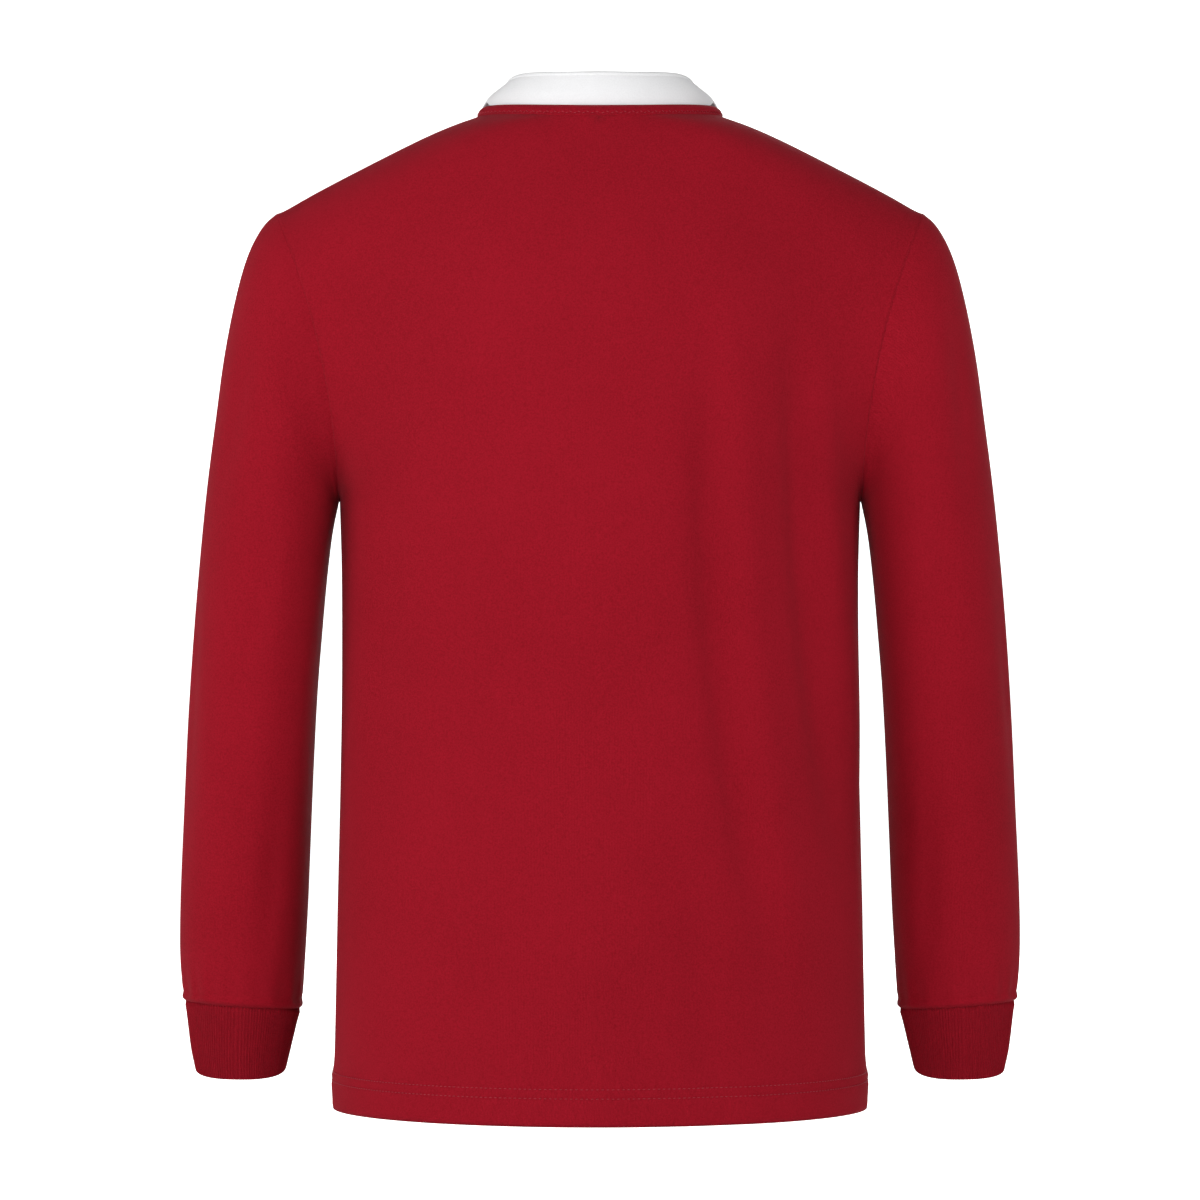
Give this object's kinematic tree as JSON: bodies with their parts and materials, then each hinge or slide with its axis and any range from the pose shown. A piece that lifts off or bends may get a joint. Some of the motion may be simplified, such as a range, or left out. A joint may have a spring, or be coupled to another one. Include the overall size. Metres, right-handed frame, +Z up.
{
  "type": "rugby shirt, long-sleeved, with a folded collar, filled out as worn with no wearer",
  "caption": "Deep red long-sleeved rugby shirt in matte knit: white folded collar, short buttoned placket, set-in sleeves, ribbed cuffs, straight stitched hem, filled out as if worn.",
  "frame": {"origin": "middle of the neck, at the level where the shoulder seams meet the neck, on the plane between back and front; the shirt is held there by its wearer's shoulders", "axes": "+Z up, the length of the shirt; -Y is the front with the placket, +Y the back; +X is the wearer's left"},
  "size_m": [0.62, 0.2558, 0.7518],
  "materials": {
    "red_knit": "matte",
    "red_rib": "matte",
    "white_twill": "matte",
    "button_plastic": "satin"
  },
  "bodies": {
    "root": {"back": "red_knit", "front": "red_knit", "sleeve_left": "red_knit", "sleeve_right": "red_knit", "cuff_left": "red_rib", "cuff_right": "red_rib", "neck_binding": "red_knit", "collar": "white_twill", "placket_upper": "red_knit", "placket_under": "red_knit", "button_1": "button_plastic", "button_2": "button_plastic", "button_3": "button_plastic"}
  },
  "joints": []
}
